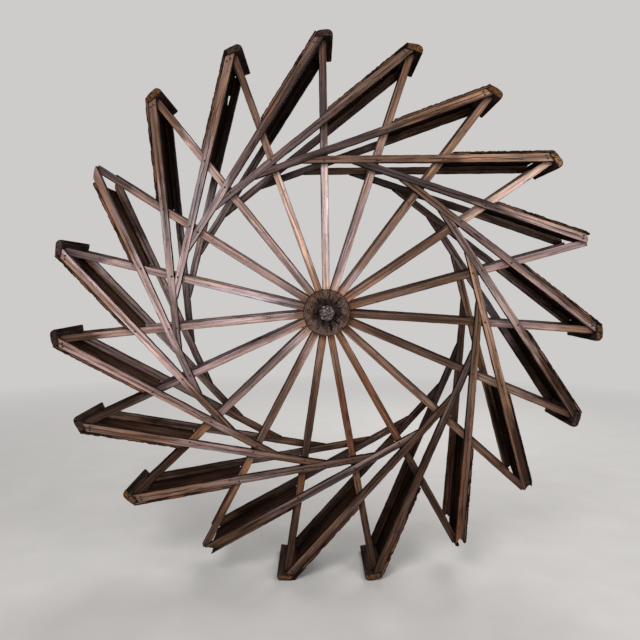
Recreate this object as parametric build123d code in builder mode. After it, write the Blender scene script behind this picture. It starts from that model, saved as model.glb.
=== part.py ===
from build123d import *
import os
from math import acos, atan2, cos, degrees, hypot, radians, sin

# A wooden foot-driven water wheel standing on two of its treads.
# Millimetres, +Z up, the axle along Y, the front at -Y.
# The origin is on the floor, straight below the middle of the axle.
# Bays are numbered clockwise, seen from the front, from the spoke at the top.

# Driving sizes of the whole wheel
BAYS = 19
ROLL = -1.05              # degrees clockwise from bay 1 straight up, as the wheel has settled
TREAD_SEAT_RADIUS = 880   # axle to the inner face of the treads
WIDTH = 267               # front to rear, over the treads
FLOOR_WEAR = 4.8          # worn off the lowest tread, where the wheel stands
FIT_GAP = 0.3             # clearance in every joint that is not face to face

# Hub and axle
HUB_RADIUS = 76.5
HUB_PROUD = 8             # hub end beyond the front of the treads
HUB_BEVEL = 4
DISH_DEPTH = 5            # worn hollow round the axle in each end of the hub
DISH_RADIUS = 60
DISH_FLOOR_RADIUS = 36
AXLE_RADIUS = 26.5
AXLE_PROUD = 2            # axle end beyond the hub end
AXLE_BEVEL = 2

# Spokes
SPOKE_WIDTH = 24
SPOKE_DEPTH = 20
HUB_TENON_WIDTH = 11
HUB_TENON_DEPTH = 14
HUB_TENON_LENGTH = 30
TREAD_TENON_WIDTH = 14
TREAD_TENON_DEPTH = 14
TREAD_TENON_SHY = 2.4     # tenon end below the top of the tread that it goes through

# Arms: each runs from a tread to the ring, on the outer face of three spokes
ARM_DEPTH = 20
ARM_SETBACK = 4           # arm face behind the end of the treads
RING_RADIUS = 482         # axle to the inner edge of an arm
ARM_RING_WIDTH = 23.5
ARM_TIP_WIDTH = 27.5
ARM_TIP_REACH = 7         # inner edge of an arm past the middle of its spoke, at the tread

# Paddle boards
PADDLE_THICKNESS = 9
PADDLE_SETBACK = 2        # paddle edge behind the end of the treads
PADDLE_SPOKE_GAP = 1.5
SHORT_PADDLE_LOSS = 37    # broken off the outer end of one board

# Treads
TREAD_BACK = 20           # overhang anticlockwise of the spoke
TREAD_FORE = 34           # overhang clockwise of the spoke
TREAD_EDGE_THICKNESS = 18
TREAD_THICKNESS = 23
TREAD_NOSE_START = 17     # where the rounded nose starts, clockwise of the spoke
TREAD_NOSE_LIP = 5        # thickness left at the clockwise edge

# What is broken or missing, by bay
TREADLESS_BAY_NUMBERS = (5, 8, 9, 12, 17)
TENONLESS_BAY_NUMBERS = (5, 8, 17)
SHORT_PADDLE_BAY_NUMBERS = (17,)

QUARTER_TURN = 90
STEP = 4 * QUARTER_TURN / BAYS
FRONT = -WIDTH / 2
ARM_FRONT = FRONT + ARM_SETBACK
SPOKE_FRONT = ARM_FRONT + ARM_DEPTH
SPOKE_MIDDLES = (SPOKE_FRONT + SPOKE_DEPTH / 2, -SPOKE_FRONT - SPOKE_DEPTH / 2)
TREAD_TENON_LENGTH = TREAD_THICKNESS - TREAD_TENON_SHY
HUB_END = WIDTH / 2 + HUB_PROUD

# An arm is drawn with its inner edge level, its tread to the right and the axle at (0, 0).
# LEAN is the angle from the arm's normal to its spoke.
TIP_CORNER_RADIUS = hypot(TREAD_SEAT_RADIUS, ARM_TIP_REACH)
LEAN = degrees(acos(RING_RADIUS / TIP_CORNER_RADIUS) - atan2(ARM_TIP_REACH, TREAD_SEAT_RADIUS))
INNER_NORMAL = QUARTER_TURN
TREAD_NORMAL = INNER_NORMAL - LEAN
SCARF_NORMAL = INNER_NORMAL + STEP
SCARF_DISTANCE = RING_RADIUS - FIT_GAP


def meet(normal_a, distance_a, normal_b, distance_b):
    """Point where two straight edges cross, each given by its normal's angle and its distance."""
    ax, ay = cos(radians(normal_a)), sin(radians(normal_a))
    bx, by = cos(radians(normal_b)), sin(radians(normal_b))
    det = ax * by - ay * bx
    return Vector((distance_a * by - distance_b * ay) / det, (ax * distance_b - bx * distance_a) / det)


ARM_TIP = meet(INNER_NORMAL, RING_RADIUS, TREAD_NORMAL, TREAD_SEAT_RADIUS)
FLARE = degrees(atan2(ARM_TIP_WIDTH - ARM_RING_WIDTH, ARM_TIP.X))
OUTER_NORMAL = INNER_NORMAL + FLARE
OUTER_DISTANCE = (RING_RADIUS + ARM_RING_WIDTH) * cos(radians(FLARE))


def bay_angle(bay):
    """Angle of a bay's spoke, anticlockwise from +X, seen from the front."""
    return QUARTER_TURN - ROLL - (bay - 1) * STEP


# The wheel stands on its lowest tread, which is worn until the next one touches the floor too.
LOWEST_DROP = max(-sin(radians(bay_angle(bay))) for bay in range(1, BAYS + 1))
STANDING_HEIGHT = (TREAD_SEAT_RADIUS + TREAD_THICKNESS) * LOWEST_DROP - FLOOR_WEAR


def upright(y, turn=0):
    """Drawing plane at depth y, seen from the front, centred on the axle and turned anticlockwise."""
    across = (cos(radians(turn)), 0, sin(radians(turn)))
    return Plane(origin=(0, y, STANDING_HEIGHT), x_dir=across, z_dir=(0, -1, 0))


def arm_turn(bay):
    """Turn that brings the drawing of an arm to its bay."""
    return bay_angle(bay) - TREAD_NORMAL


def arm_set(face_y):
    """The arms of one side of the wheel: level inner edge, flared outer edge, scarf and raked tip."""
    outline = (
        meet(INNER_NORMAL, RING_RADIUS, SCARF_NORMAL, SCARF_DISTANCE),
        ARM_TIP,
        meet(OUTER_NORMAL, OUTER_DISTANCE, TREAD_NORMAL, TREAD_SEAT_RADIUS),
        meet(OUTER_NORMAL, OUTER_DISTANCE, SCARF_NORMAL, SCARF_DISTANCE),
    )
    with BuildPart() as arms:
        with BuildSketch(upright(face_y, arm_turn(1))):
            with PolarLocations(0, BAYS):
                Polygon(*outline, align=None)
        extrude(amount=-ARM_DEPTH)
    return arms.part


def spoke_set(face_y):
    """The spokes of one side of the wheel, tenoned into the hub and right through the treads."""
    middle_y = face_y + SPOKE_DEPTH / 2
    with BuildPart() as spokes:
        with BuildSketch(upright(face_y, bay_angle(1))):
            with PolarLocations(HUB_RADIUS + FIT_GAP, BAYS):
                Rectangle(TREAD_SEAT_RADIUS - HUB_RADIUS - FIT_GAP, SPOKE_WIDTH,
                          align=(Align.MIN, Align.CENTER))
        extrude(amount=-SPOKE_DEPTH)
        with BuildSketch(upright(middle_y, bay_angle(1))):
            with PolarLocations(HUB_RADIUS - HUB_TENON_LENGTH, BAYS):
                Rectangle(HUB_TENON_LENGTH + SPOKE_WIDTH, HUB_TENON_WIDTH,
                          align=(Align.MIN, Align.CENTER))
        extrude(amount=HUB_TENON_DEPTH / 2, both=True)
        with BuildSketch(upright(middle_y)):
            for bay in range(1, BAYS + 1):
                if bay not in TENONLESS_BAY_NUMBERS:
                    with PolarLocations(TREAD_SEAT_RADIUS - SPOKE_WIDTH, 1, start_angle=bay_angle(bay)):
                        Rectangle(TREAD_TENON_LENGTH + SPOKE_WIDTH, TREAD_TENON_WIDTH,
                                  align=(Align.MIN, Align.CENTER))
        extrude(amount=TREAD_TENON_DEPTH / 2, both=True)
        split(bisect_by=Plane.XY, keep=Keep.TOP)
    return spokes.part


def paddle(bay):
    """Board on the outer edges of a front and a rear arm, from the back of the tread in to the next spoke."""
    normal = QUARTER_TURN
    tread_normal = TREAD_NORMAL - FLARE
    spoke_side = tread_normal + STEP - QUARTER_TURN, SPOKE_WIDTH / 2 + PADDLE_SPOKE_GAP
    tread_back = tread_normal + QUARTER_TURN, TREAD_BACK + FIT_GAP
    tread_top = tread_normal, TREAD_SEAT_RADIUS + TREAD_EDGE_THICKNESS
    inner, outer = OUTER_DISTANCE, OUTER_DISTANCE + PADDLE_THICKNESS
    root = [meet(normal, outer, *spoke_side), meet(normal, inner, *spoke_side)]
    heel = meet(normal, inner, *tread_back)
    end = [heel, meet(*tread_back, *tread_top), meet(normal, outer, *tread_top)]
    if bay in SHORT_PADDLE_BAY_NUMBERS:
        end = [(heel.X - SHORT_PADDLE_LOSS, inner), (heel.X - SHORT_PADDLE_LOSS, outer)]
    with BuildPart() as board:
        with BuildSketch(upright(FRONT + PADDLE_SETBACK, arm_turn(bay) + FLARE)):
            Polygon(*root, *end, align=None)
        extrude(amount=-(WIDTH - 2 * PADDLE_SETBACK))
        split(bisect_by=Plane.XY, keep=Keep.TOP)
    return board.part


def tread(bay):
    """Foot board across the ends of a front and a rear spoke, mortised through for their tenons."""
    seat = TREAD_SEAT_RADIUS
    with BuildPart() as board:
        with BuildSketch(upright(FRONT, bay_angle(bay))):
            with BuildLine():
                nose = EllipticalCenterArc((seat + TREAD_NOSE_LIP, -TREAD_NOSE_START),
                                           TREAD_THICKNESS - TREAD_NOSE_LIP,
                                           TREAD_FORE - TREAD_NOSE_START,
                                           start_angle=-QUARTER_TURN, arc_size=QUARTER_TURN)
                crown = TangentArc(nose @ 1, (seat + TREAD_EDGE_THICKNESS, TREAD_BACK), tangent=(0, 1))
                Polyline(crown @ 1, (seat, TREAD_BACK), (seat, -TREAD_FORE), nose @ 0)
            make_face()
        extrude(amount=-WIDTH)
        for middle_y in SPOKE_MIDDLES:
            with BuildSketch(upright(middle_y, bay_angle(bay))):
                with Locations((seat, 0)):
                    Rectangle(2 * TREAD_THICKNESS, TREAD_TENON_WIDTH + 2 * FIT_GAP)
            extrude(amount=TREAD_TENON_DEPTH / 2 + FIT_GAP, both=True, mode=Mode.SUBTRACT)
        split(bisect_by=Plane.XY, keep=Keep.TOP)
    return board.part


def hub():
    """Turned hub with a worn hollow round the axle at each end and mortises for all spokes."""
    with BuildPart() as body:
        with BuildSketch(upright(-HUB_END)):
            Circle(HUB_RADIUS)
        extrude(amount=-2 * HUB_END)
        chamfer(body.edges().filter_by(GeomType.CIRCLE), HUB_BEVEL)
        for end in (-1, 1):
            with BuildSketch(Plane(origin=(0, 0, STANDING_HEIGHT), x_dir=(0, end, 0), z_dir=(end, 0, 0))):
                with BuildLine():
                    Polyline((HUB_END - DISH_DEPTH, 0), (HUB_END - DISH_DEPTH, DISH_FLOOR_RADIUS),
                             (HUB_END, DISH_RADIUS), (HUB_END, 0), close=True)
                make_face()
            revolve(axis=Axis((0, 0, STANDING_HEIGHT), (0, 1, 0)), mode=Mode.SUBTRACT)
        with BuildSketch(upright(-HUB_END)):
            Circle(AXLE_RADIUS + FIT_GAP)
        extrude(amount=-2 * HUB_END, mode=Mode.SUBTRACT)
        for middle_y in SPOKE_MIDDLES:
            with BuildSketch(upright(middle_y, bay_angle(1))):
                with PolarLocations(HUB_RADIUS - HUB_TENON_LENGTH - FIT_GAP, BAYS):
                    Rectangle(2 * HUB_TENON_LENGTH, HUB_TENON_WIDTH + 2 * FIT_GAP,
                              align=(Align.MIN, Align.CENTER))
            extrude(amount=HUB_TENON_DEPTH / 2 + FIT_GAP, both=True, mode=Mode.SUBTRACT)
    return body.part


def axle():
    """Round axle sawn off just beyond the hub ends."""
    with BuildPart() as shaft:
        with BuildSketch(upright(-HUB_END - AXLE_PROUD)):
            Circle(AXLE_RADIUS)
        extrude(amount=-2 * (HUB_END + AXLE_PROUD))
        chamfer(shaft.edges().filter_by(GeomType.CIRCLE), AXLE_BEVEL)
    return shaft.part


def save(part, name):
    part.label = name
    export_step(part, f"parts/{name}.step")


os.makedirs("parts", exist_ok=True)
save(hub(), "hub")
save(axle(), "axle")
save(spoke_set(SPOKE_FRONT), "front_spokes")
save(spoke_set(-SPOKE_FRONT - SPOKE_DEPTH), "rear_spokes")
save(arm_set(ARM_FRONT), "front_arms")
save(arm_set(-ARM_FRONT - ARM_DEPTH), "rear_arms")
for number in range(1, BAYS + 1):
    save(paddle(number), f"paddle_{number:02d}")
    if number not in TREADLESS_BAY_NUMBERS:
        save(tread(number), f"tread_{number:02d}")
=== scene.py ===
import math
import bpy
import numpy as np
from mathutils import Matrix, Vector

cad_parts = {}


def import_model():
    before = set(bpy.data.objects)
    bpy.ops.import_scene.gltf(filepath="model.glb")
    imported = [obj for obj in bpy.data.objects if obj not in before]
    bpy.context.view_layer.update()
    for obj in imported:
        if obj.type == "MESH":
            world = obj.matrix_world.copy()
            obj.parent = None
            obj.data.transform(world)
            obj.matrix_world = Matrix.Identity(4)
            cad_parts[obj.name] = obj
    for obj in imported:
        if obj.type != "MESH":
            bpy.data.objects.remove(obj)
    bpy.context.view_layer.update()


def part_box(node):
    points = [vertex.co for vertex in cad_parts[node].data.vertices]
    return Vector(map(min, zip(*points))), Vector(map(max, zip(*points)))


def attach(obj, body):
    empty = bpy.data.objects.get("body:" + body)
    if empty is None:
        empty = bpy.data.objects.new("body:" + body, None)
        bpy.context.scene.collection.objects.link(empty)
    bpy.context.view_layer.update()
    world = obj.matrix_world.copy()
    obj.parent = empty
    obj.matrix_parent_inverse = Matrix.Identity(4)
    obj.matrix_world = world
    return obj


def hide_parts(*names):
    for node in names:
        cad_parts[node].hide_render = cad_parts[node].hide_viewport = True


# A weathered wooden water wheel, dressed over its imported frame.
# Metres and degrees, the front at -Y. Bays are numbered clockwise, seen from the front, from the top.
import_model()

# Sizes read from the frame
HUB_LOW, HUB_HIGH = (np.array(corner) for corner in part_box("hub"))
AXLE_LOW, AXLE_HIGH = (np.array(corner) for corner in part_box("axle"))
TREAD_LOW, TREAD_HIGH = (np.array(corner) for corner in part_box("tread_01"))
AXLE_HEIGHT = (HUB_LOW[2] + HUB_HIGH[2]) / 2
HUB_RADIUS = (HUB_HIGH[2] - HUB_LOW[2]) / 2
AXLE_RADIUS = (AXLE_HIGH[2] - AXLE_LOW[2]) / 2
FRONT = TREAD_LOW[1]
WIDTH = TREAD_HIGH[1] - TREAD_LOW[1]

# Sizes of the pieces
BAYS = 19
STEP = 360 / BAYS
ROLL = -1.05
SEAT_RADIUS = 0.880
SPOKE_WIDTH = 0.024
SPOKE_DEPTH = 0.020
SPOKE_SINK = 0.003
SPOKE_BOW = 0.0012
TENON_SIZE = 0.014
TENON_SHY = 0.0024
TENON_SINK = 0.006
TENON_LIFT = 0.0004
ARM_DEPTH = 0.020
ARM_SETBACK = 0.004
RING_RADIUS = 0.482
ARM_RING_WIDTH = 0.0235
ARM_TIP_WIDTH = 0.0275
ARM_TIP_REACH = 0.007
ARM_BOWS = -0.0018, 0.0012
PADDLE_THICKNESS = 0.009
PADDLE_SETBACK = 0.002
PADDLE_SPOKE_GAP = 0.0015
PADDLE_ROOT_RUN = 0.008
ROOT_RUN_DEPTHS = 0.030, 0.038
PADDLE_END_PRESS = 0.0014
RAGGED_WIDTH = 0.012
NICK_DEPTH = 0.002
CHIP_DEPTH = 0.003
BARE_END_WEAR = 0.006
SHORT_PADDLE_LOSS = 0.037
TREAD_BACK = 0.020
TREAD_FORE = 0.034
TREAD_EDGE_THICKNESS = 0.018
TREAD_THICKNESS = 0.023
TREAD_NOSE_START = 0.017
TREAD_NOSE_LIP = 0.005
TREAD_CORNER = 0.008
TREAD_HOLLOW = 0.0014
FOOT_DARK_HEIGHT = 0.008
WEDGE_DEPTH = 0.0052
WEDGE_HEIGHT = 0.0086
DISH_DEPTH = 0.005
DISH_RADIUS = 0.060
DISH_FLOOR_RADIUS = 0.036
HUB_BEVEL = 0.004
HUB_COLUMNS = 228
HUB_CRACKS = 9
HUB_CRACK_STARTS = 0.026, 0.045
HUB_CRACK_ENDS = 0.055, 0.074
HUB_CRACK_DEPTH = 0.005
AXLE_FACE_DENT = 0.0008
AXLE_RIM_WEAR = 0.0022
FIT_GAP = 0.0003
NAIL_RADIUS = 0.0034
NAIL_HEIGHT = 0.0008
NAIL_ROOT = 0.001
NAIL_SINK = 0.0003
NAIL_CLEARANCE = 0.012
NAIL_DRIFT = 0.003
TIP_NAIL_DRIFT = 0.005

# Nails at an arm's tip: back from its inner corner, and share of its width
TIP_NAILS = ((0.030, 0.70), (0.024, 0.35))

# How far worn edges are rounded, and how deep worn faces are dented
WEAR = {
    "arm": (0.0019, 0.0009),
    "spoke": (0.0019, 0.0008),
    "tenon": (0.0010, 0.0008),
    "bare_tenon": (0.0026, 0.0008),
    "paddle": (0.0012, 0.0008),
    "tread": (0.0020, 0.0005),
}

# Lengths of the mesh cells along the grain, then across and through a paddle board
CELL = {"arm": 0.007, "spoke": 0.007, "tenon": 0.0035, "paddle": 0.006, "tread": 0.006, "axle": 0.008}
PADDLE_ROW = 0.0075
PADDLE_LAYER = 0.0015

# First seeds of the random draws
ARM_SEED, ARM_TONE_SEED, ARM_BOW_SEED, ARM_TEAR_SEED = 1000, 40, 900, 700
SPOKE_SEED, SPOKE_TONE_SEED, SPOKE_BOW_SEED = 2000, 60, 2400
TENON_SEED = 3000
PADDLE_SEED = 4000
TREAD_SEED = 5000
HUB_SEED = 71
AXLE_SEED = 81
NAIL_SEED = 88

# Bays where something is lost or broken
TREADLESS_BAYS = (5, 8, 9, 12, 17)
TENONLESS_BAYS = (5, 8, 17)
SHORT_PADDLE_BAYS = (17,)
BROKEN_TIP_BAYS = (9, 12, 17)

# Bays whose treads stand on the floor
STANDING_BAYS = (10, 11)

# Bays whose members are painted apart: some rear arms with painted shade, some with painted light, and
# members with tones of their own
# Rear arms with painted shade on their inner faces towards the tip
SHADED_REAR_BAYS = (18, 19, 1)
# Rear arms with painted light at the ring end
PAINTED_LIGHT_REAR_BAYS = (12, 13, 14, 15)
# Arms paler or darker along one edge, and spokes that take their tread tone further in
PALE_EDGE_BAYS = (8,)
DARK_EDGE_BAYS = (10, 11, 12, 13, 14)
DARK_SPOKE_BAYS = (9, 10, 11, 12, 13, 14)

# Arms that a step makes thinner towards the tip: from and to along the arm, and how deep
STEPPED_ARMS = {11: (0.640, 0.645, 0.003)}

ARM_FRONT = FRONT + ARM_SETBACK
SPOKE_FRONT = ARM_FRONT + ARM_DEPTH


# Colours in sRGB: tones of the weathered wood, some of them also used for painted light and painted
# shade
TONES = {
    "chalk": (199, 177, 172),
    "pale": (177, 153, 149),
    "mauve": (147, 131, 130),
    "rose": (151, 126, 121),
    "dusk": (123, 103, 99),
    "plum": (88, 73, 71),
    "slate": (68, 57, 55),
    "sand": (195, 162, 146),
    "amber": (158, 118, 88),
    "tan": (145, 114, 95),
    "fawn": (123, 97, 83),
    "umber": (103, 79, 66),
    "brown": (84, 63, 53),
    "bark": (62, 46, 39),
    "sorrel": (112, 79, 54),
    "rust": (110, 74, 54),
    "russet": (92, 61, 47),
    "tawny": (128, 95, 72),
    "garnet": (58, 34, 23),
    # Near-black, for dark wood and for painted shade
    "soot": (40, 30, 25),
    "black": (22, 16, 13),
    "grey": (106, 97, 97),
}

# Arm tones by bay, partly the wood's own tones and partly painted light and shade: at the ring, at the
# middle, then the inner and the outer half of the tip
ARM_TONE_AND_LIGHT = {
    1: "mauve plum slate umber",
    2: "dusk plum umber fawn",
    3: "plum slate umber tan",
    4: "umber brown tan tan",
    5: "slate slate rose sand",
    6: "umber dusk rose brown",
    7: "dusk mauve brown bark",
    8: "tan tan garnet soot",
    9: "umber umber rust brown",
    10: "plum bark brown brown",
    11: "umber brown umber bark",
    12: "dusk plum umber bark",
    13: "umber dusk umber fawn",
    14: "umber rose fawn fawn",
    15: "umber rose rose rose",
    16: "umber pale pale tan",
    17: "dusk pale dusk fawn",
    18: "dusk mauve umber fawn",
    19: "pale mauve fawn fawn",
}

# Spoke tones by bay, partly the wood's own tones and partly painted light and shade: at the hub, inside
# the ring, between the arms and at the tread
SPOKE_TONE_AND_LIGHT = {
    1: "chalk chalk plum brown",
    2: "pale rose fawn umber",
    3: "rose fawn tan fawn",
    4: "fawn umber sand sand",
    5: "umber umber rose rose",
    6: "brown brown rose fawn",
    7: "umber brown fawn brown",
    8: "fawn fawn umber brown",
    9: "tan rust bark bark",
    10: "fawn russet umber bark",
    11: "fawn brown rust bark",
    12: "rose umber tawny brown",
    13: "pale dusk tawny bark",
    14: "rose rose plum bark",
    15: "dusk pale rose brown",
    16: "dusk pale rose plum",
    17: "dusk rose rose plum",
    18: "dusk rose pale umber",
    19: "tan sand fawn brown",
}

# Tones of the tread ends by bay
TREAD_FINISH = {
    1: "slate", 2: "sorrel", 3: "sorrel", 4: "amber", 6: "sorrel", 7: "slate", 10: "sorrel",
    11: "sorrel", 13: "sorrel", 14: "slate", 15: "slate", 16: "plum", 18: "sorrel", 19: "slate",
}

# How much bare wood shows on the ragged front edge of each paddle board, by bay
PADDLE_EDGE_SHARE = {
    1: 0.7, 2: 0.3, 3: 0.5, 4: 0.35, 5: 0.35, 6: 0.45, 7: 0.3, 8: 0.05, 9: 0.45, 10: 0.6,
    11: 0.6, 12: 0.4, 13: 0.5, 14: 0.5, 15: 0.5, 16: 0.6, 17: 0.75, 18: 0.7, 19: 0.8,
}

# Tones of the paddle boards whose inner faces aren't near-black; the near-black of the others is partly
# their own dark tone and partly painted shade
PADDLE_FINISH = {
    11: "bark", 12: "bark", 13: "bark", 14: "brown", 15: "brown", 16: "brown", 17: "brown",
}

# How far the inner face of a board runs on past its tread's place, where the tread is gone. It grows
# from nothing to all of it between two depths behind the board's front edge.
PADDLE_OVERRUN = {5: 0.033, 8: 0.031, 9: 0.026, 12: 0.018}
OVERRUN_DEPTHS = 0.03, 0.12

# How far the outer face, and then the whole end, of such a board falls short of that place
PADDLE_CREST_LOSS = {5: 0.010, 8: 0.026, 9: 0.008, 12: 0.002}
PADDLE_END_LOSS = {12: 0.014}

# Share of its thickness that a board has lost along its long edges
PADDLE_EDGE_WEAR = {8: 0.42, 12: 0.35}

# Notches in the boards: from and to, in from the tread; from and to, back from the front edge; slant
PADDLE_NOTCHES = {
    4: (0.0, 0.008, 0.205, 0.270, 0.0),
    6: (0.136, 0.142, 0.0, 0.007, 0.0),
    17: (0.187, 0.193, 0.0, 0.006, 0.0),
    19: (0.074, 0.110, 0.214, 0.270, 0.8),
}


def linear(colour):
    """Linear RGB of an sRGB colour given from 0 to 255."""
    share = np.array(colour) / 255
    return np.where(share <= 0.04045, share / 12.92, ((share + 0.055) / 1.055) ** 2.4)


def tone(name):
    return linear(TONES[name])


def tones(names):
    return [tone(name) for name in names.split()]


def smooth(value, low=0.0, high=1.0):
    """Smooth step from 0 at low to 1 at high."""
    share = np.clip((value - low) / (high - low), 0, 1)
    return share * share * (3 - 2 * share)


def mix(first, second, share):
    """Blend of two colours, one share for each point."""
    share = np.reshape(share, (-1, 1))
    return first * (1 - share) + second * share


def waves(seed, points, lengths, octaves=3):
    """Smooth noise from -1 to 1 with the given wavelengths along the columns of points."""
    draw = np.random.default_rng(seed)
    scaled = np.asarray(points) / np.array(lengths)
    total = np.zeros(len(scaled))
    for octave in range(octaves):
        for _ in range(5):
            heading = draw.normal(size=scaled.shape[1])
            heading *= 2 * math.pi * 1.9 ** octave / np.linalg.norm(heading)
            total += np.sin(scaled @ heading + draw.uniform(0, 2 * math.pi)) * 0.6 ** octave
    return np.clip(total / 3.4, -1, 1)


def meet(normal_a, distance_a, normal_b, distance_b):
    """Point where two straight edges cross, each given by its normal's angle and its distance."""
    ax, ay = math.cos(math.radians(normal_a)), math.sin(math.radians(normal_a))
    bx, by = math.cos(math.radians(normal_b)), math.sin(math.radians(normal_b))
    cross = ax * by - ay * bx
    x = (distance_a * by - distance_b * ay) / cross
    y = (ax * distance_b - bx * distance_a) / cross
    return np.array((x, y))


# An arm is drawn with its inner edge level, its tread to the right and the axle at (0, 0)
TIP_CORNER_RADIUS = math.hypot(SEAT_RADIUS, ARM_TIP_REACH)
LEAN = math.degrees(math.acos(RING_RADIUS / TIP_CORNER_RADIUS) - math.atan2(ARM_TIP_REACH, SEAT_RADIUS))
TREAD_NORMAL = 90 - LEAN
ARM_TIP = meet(90, RING_RADIUS, TREAD_NORMAL, SEAT_RADIUS)
FLARE = math.degrees(math.atan2(ARM_TIP_WIDTH - ARM_RING_WIDTH, ARM_TIP[0]))
OUTER_DISTANCE = (RING_RADIUS + ARM_RING_WIDTH) * math.cos(math.radians(FLARE))
ARM_CORNERS = (
    meet(90, RING_RADIUS, 90 + STEP, RING_RADIUS - FIT_GAP),
    ARM_TIP,
    meet(90 + FLARE, OUTER_DISTANCE, TREAD_NORMAL, SEAT_RADIUS),
    meet(90 + FLARE, OUTER_DISTANCE, 90 + STEP, RING_RADIUS - FIT_GAP),
)


def bay_angle(bay):
    """Angle of a bay's spoke, anticlockwise from +X, seen from the front."""
    return 90 - ROLL - (bay - 1) * STEP


def arm_turn(bay):
    return bay_angle(bay) - TREAD_NORMAL


def place(turn, across, up, depth):
    """World points of drawing points at a depth, the drawing turned anticlockwise about the axle."""
    c, s = math.cos(math.radians(turn)), math.sin(math.radians(turn))
    return np.stack((across * c - up * s, depth, AXLE_HEIGHT + across * s + up * c), axis=1)


def shell(kept):
    """Surface of the kept cells of a block: lattice points as whole numbers, and outward quads."""
    padded = np.pad(kept.astype(int), 1)
    shape = np.array(kept.shape) + 1
    quads = []
    for axis in range(3):
        change = np.diff(padded, axis=axis)
        inner = [slice(1, -1)] * 3
        inner[axis] = slice(None)
        change = change[tuple(inner)]
        step_u, step_v = np.eye(3, dtype=int)[(axis + 1) % 3], np.eye(3, dtype=int)[(axis + 2) % 3]
        for sign in (-1, 1):
            corner = np.argwhere(change == sign)
            loop = [corner, corner + step_u, corner + step_u + step_v, corner + step_v]
            quads.append(np.stack(loop if sign < 0 else loop[::-1], axis=1))
    quads = np.concatenate(quads)
    numbers = np.ravel_multi_index(tuple(np.moveaxis(quads, -1, 0)), tuple(shape))
    used, faces = np.unique(numbers, return_inverse=True)
    return np.stack(np.unravel_index(used, tuple(shape)), axis=1), faces.reshape(-1, 4)


def all_cells(stops):
    """Flags that keep every cell of a block with these stops."""
    return np.ones([len(stop) - 1 for stop in stops], bool)


def surface(stops, kept):
    """Surface points and quads of the kept cells of a block with these stops."""
    lattice, faces = shell(kept)
    return np.stack([stop[lattice[:, axis]] for axis, stop in enumerate(stops)], axis=1), faces


def disc(u, v):
    """A square from -1 to 1 pressed into a round disc."""
    return u * np.sqrt(1 - v * v / 2), v * np.sqrt(1 - u * u / 2)


def even(length, step):
    """Evenly spaced stops from 0 to length, about a step apart."""
    return np.linspace(0, length, max(2, round(length / step)) + 1)


def edged(length):
    """Stops from 0 to length with narrow strips along both edges."""
    return length * np.array((0, 0.09, 0.18, 0.5, 0.82, 0.91, 1))


def rounded(length, cells):
    """Stops from 0 to length that crowd towards both ends."""
    return length * (1 - np.cos(np.linspace(0, math.pi, cells + 1))) / 2


class Block:
    """A worn wooden block from (0, 0, 0) to its size, grain along X, before it is bent into place."""

    def __init__(self, stops, wear, seed, kept=None):
        rounding, dent_depth = wear
        raw, self.faces = surface(stops, all_cells(stops) if kept is None else kept)
        self.size = np.array([stop[-1] for stop in stops])
        edge = rounding * (1 + 0.7 * waves(seed, raw, (0.07, 0.05, 0.05)))
        edge = np.minimum(edge, self.size.min() * 0.45)[:, None]
        core = np.clip(raw, edge, self.size - edge)
        out = raw - core
        length = np.linalg.norm(out, axis=1, keepdims=True)
        self.normal = out / np.maximum(length, 1e-9)
        dent = dent_depth * (0.5 + 0.5 * waves(seed + 1, raw, (0.06, 0.014, 0.014)))
        self.points = core + self.normal * (np.minimum(length, edge) - dent[:, None])
        self.raw = raw
        self.share = raw / self.size
        self.end = self.normal[:, 0] ** 4


class Piece:
    """One visible piece: blocks joined into one mesh, with what its material reads at each point."""

    def __init__(self):
        self.points, self.faces, self.grain = [], [], []
        self.finish, self.grime, self.end = [], [], []
        self.count = 0

    def add(self, points, faces, grain, finish, grime, end):
        first = points[faces[:, 1]] - points[faces[:, 0]]
        second = points[faces[:, 3]] - points[faces[:, 0]]
        inward = np.sum(np.cross(first, second) * points[faces[:, 0]]) < 0
        self.points.append(points)
        self.faces.append((faces[:, ::-1] if inward else faces) + self.count)
        self.grain.append(grain)
        self.finish.append(np.broadcast_to(finish, points.shape))
        self.grime.append(np.clip(np.broadcast_to(grime, len(points)), 0, 1))
        self.end.append(np.broadcast_to(end, len(points)))
        self.count += len(points)

    def build(self, name, material, slot, *nodes):
        points, faces = np.concatenate(self.points), np.concatenate(self.faces)
        mesh = bpy.data.meshes.new(name)
        mesh.vertices.add(len(points))
        mesh.vertices.foreach_set("co", points.ravel())
        mesh.loops.add(faces.size)
        mesh.loops.foreach_set("vertex_index", faces.ravel())
        mesh.polygons.add(len(faces))
        mesh.polygons.foreach_set("loop_start", np.arange(0, faces.size, 4))
        mesh.polygons.foreach_set("use_smooth", np.ones(len(faces), bool))
        colour = np.concatenate(self.finish)
        attributes = (
            ("grain", "FLOAT_VECTOR", "vector", np.concatenate(self.grain)),
            ("finish", "FLOAT_COLOR", "color", np.column_stack((colour, np.ones(len(colour))))),
            ("grime", "FLOAT", "value", np.concatenate(self.grime)),
            ("end", "FLOAT", "value", np.concatenate(self.end)),
        )
        for title, kind, field, values in attributes:
            mesh.attributes.new(title, kind, "POINT").data.foreach_set(field, values.ravel())
        mesh.update(calc_edges=True)
        mesh.validate()
        mesh.materials.append(material)
        piece = bpy.data.objects.new(name, mesh)
        bpy.context.scene.collection.objects.link(piece)
        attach(piece, "root")
        if nodes:
            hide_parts(*nodes)


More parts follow.
